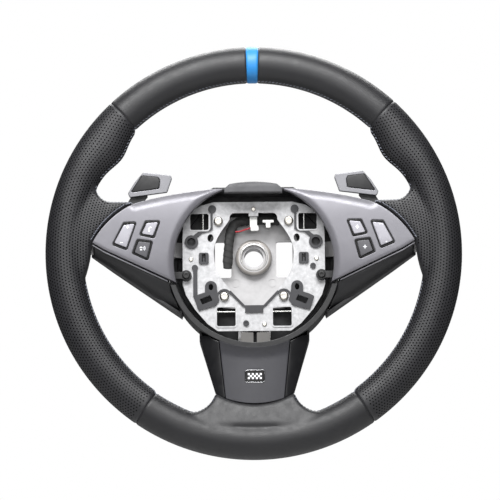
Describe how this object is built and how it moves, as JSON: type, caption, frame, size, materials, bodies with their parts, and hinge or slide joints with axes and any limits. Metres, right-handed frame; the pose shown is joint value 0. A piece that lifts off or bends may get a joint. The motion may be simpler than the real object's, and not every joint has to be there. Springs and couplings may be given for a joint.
{
  "type": "steering wheel",
  "caption": "Three-spoke leather steering wheel with shift paddles, spoke buttons and an open hub plate; its airbag is removed.",
  "frame": {"origin": "on the steering column's axis, at the rear face of the hub boss", "axes": "+X to the driver's right, +Y along the column away from the driver, +Z to twelve o'clock"},
  "size_m": [0.38, 0.0775, 0.38],
  "materials": {
    "leather_smooth": "smooth leather, soft sheen",
    "leather_perforated": "perforated leather",
    "leather_blue": "smooth leather, blue",
    "foam": "moulded foam",
    "steel_ring": "plain",
    "cast_alloy": "as cast",
    "zinc_plate": "galvanised",
    "screw_metal": "nickel plated",
    "satin_trim": "satin silver-grey paint",
    "satin_panel": "satin dark grey",
    "black_plastic": "fine grain",
    "dark_plastic": "matte",
    "grey_plastic": "grained",
    "white_plastic": "plain",
    "tape": "cloth tape",
    "red_insulation": "plain",
    "chrome_edge": "polished"
  },
  "bodies": {
    "wheel": {"armature": "cast_alloy", "rim_core": "steel_ring", "rim_foam": "foam", "leather_centre_stripe": "leather_blue", "leather_bottom": "leather_smooth", "leather_top_right": "leather_smooth", "leather_top_left": "leather_smooth", "leather_grip_right": "leather_perforated", "leather_grip_left": "leather_perforated", "rear_cover": "black_plastic", "hub_shroud": "black_plastic", "top_pad": "grey_plastic", "connector_blocks": "grey_plastic", "airbag_plate": "zinc_plate", "insulator_lower": "dark_plastic", "insulator_upper_right": "dark_plastic", "insulator_upper_left": "dark_plastic", "airbag_guides": "dark_plastic", "plate_plugs": "dark_plastic", "plate_rivets": "screw_metal", "plate_screws": "screw_metal", "trim_screws": "black_plastic", "lower_spoke_cover": "satin_panel", "lower_spoke_flanks": "black_plastic", "lower_spoke_rear_cover": "black_plastic", "badge_frame": "chrome_edge", "badge_plate": "white_plastic", "paddle_pins": "steel_ring", "paddle_bracket_right": "steel_ring", "paddle_bracket_left": "steel_ring", "harness": "tape", "red_wire": "red_insulation", "white_connector": "white_plastic", "retainer_clip": "screw_metal", "spoke_trim_right": "satin_trim", "spoke_trim_left": "satin_trim", "button_bezels_right": "black_plastic", "button_bezels_left": "black_plastic", "switch_housing_right": "black_plastic", "switch_housing_left": "black_plastic", "undercover_right": "black_plastic", "undercover_left": "black_plastic", "spoke_rear_cover_right": "black_plastic", "spoke_rear_cover_left": "black_plastic"},
    "paddle_left": {"paddle_frame_left": "satin_trim", "paddle_pad_left": "black_plastic", "paddle_lever_left": "black_plastic"},
    "rocker_left_body": {"rocker_left": "satin_trim"},
    "button_upper_left_body": {"button_upper_left": "satin_trim"},
    "button_lower_left_body": {"button_lower_left": "satin_trim"},
    "latch_wire_left_body": {"latch_wire_left": "steel_ring"},
    "paddle_right": {"paddle_frame_right": "satin_trim", "paddle_pad_right": "black_plastic", "paddle_lever_right": "black_plastic"},
    "rocker_right_body": {"rocker_right": "satin_trim"},
    "button_upper_right_body": {"button_upper_right": "satin_trim"},
    "button_lower_right_body": {"button_lower_right": "satin_trim"},
    "latch_wire_right_body": {"latch_wire_right": "steel_ring"},
    "latch_wire_lower_body": {"latch_wire_lower": "steel_ring"}
  },
  "joints": [
    {"name": "paddle_left_pivot", "type": "hinge", "parent": "wheel", "child": "paddle_left", "pos_m": [-0.113, -0.04, 0.026], "axis": [1, 0, 0], "range_deg": [-4, 4], "stiffness_Nm_per_rad": 6},
    {"name": "rocker_left_tilt", "type": "hinge", "parent": "wheel", "child": "rocker_left_body", "pos_m": [-0.11794, -0.06374, 0.0154], "axis": [1, 0, 0], "range_deg": [-2.5, 2.5], "stiffness_Nm_per_rad": 0.6},
    {"name": "button_upper_left_press", "type": "slide", "parent": "wheel", "child": "button_upper_left_body", "axis": [-0.0698, 0.9976, 0], "range_m": [0, 0.0012], "stiffness_N_per_m": 1500},
    {"name": "button_lower_left_press", "type": "slide", "parent": "wheel", "child": "button_lower_left_body", "axis": [-0.0698, 0.9976, 0], "range_m": [0, 0.0012], "stiffness_N_per_m": 1500},
    {"name": "latch_wire_left_slide", "type": "slide", "parent": "wheel", "child": "latch_wire_left_body", "axis": [1, 0, 0], "range_m": [0, 0.0022], "stiffness_N_per_m": 4000},
    {"name": "paddle_right_pivot", "type": "hinge", "parent": "wheel", "child": "paddle_right", "pos_m": [0.113, -0.04, 0.026], "axis": [1, 0, 0], "range_deg": [-4, 4], "stiffness_Nm_per_rad": 6},
    {"name": "rocker_right_tilt", "type": "hinge", "parent": "wheel", "child": "rocker_right_body", "pos_m": [0.11794, -0.06374, 0.0154], "axis": [1, 0, 0], "range_deg": [-2.5, 2.5], "stiffness_Nm_per_rad": 0.6},
    {"name": "button_upper_right_press", "type": "slide", "parent": "wheel", "child": "button_upper_right_body", "axis": [0.0698, 0.9976, 0], "range_m": [0, 0.0012], "stiffness_N_per_m": 1500},
    {"name": "button_lower_right_press", "type": "slide", "parent": "wheel", "child": "button_lower_right_body", "axis": [0.0698, 0.9976, 0], "range_m": [0, 0.0012], "stiffness_N_per_m": 1500},
    {"name": "latch_wire_right_slide", "type": "slide", "parent": "wheel", "child": "latch_wire_right_body", "axis": [-1, 0, 0], "range_m": [0, 0.0022], "stiffness_N_per_m": 4000},
    {"name": "latch_wire_lower_slide", "type": "slide", "parent": "wheel", "child": "latch_wire_lower_body", "axis": [0, 0, 1], "range_m": [0, 0.0022], "stiffness_N_per_m": 4000}
  ]
}
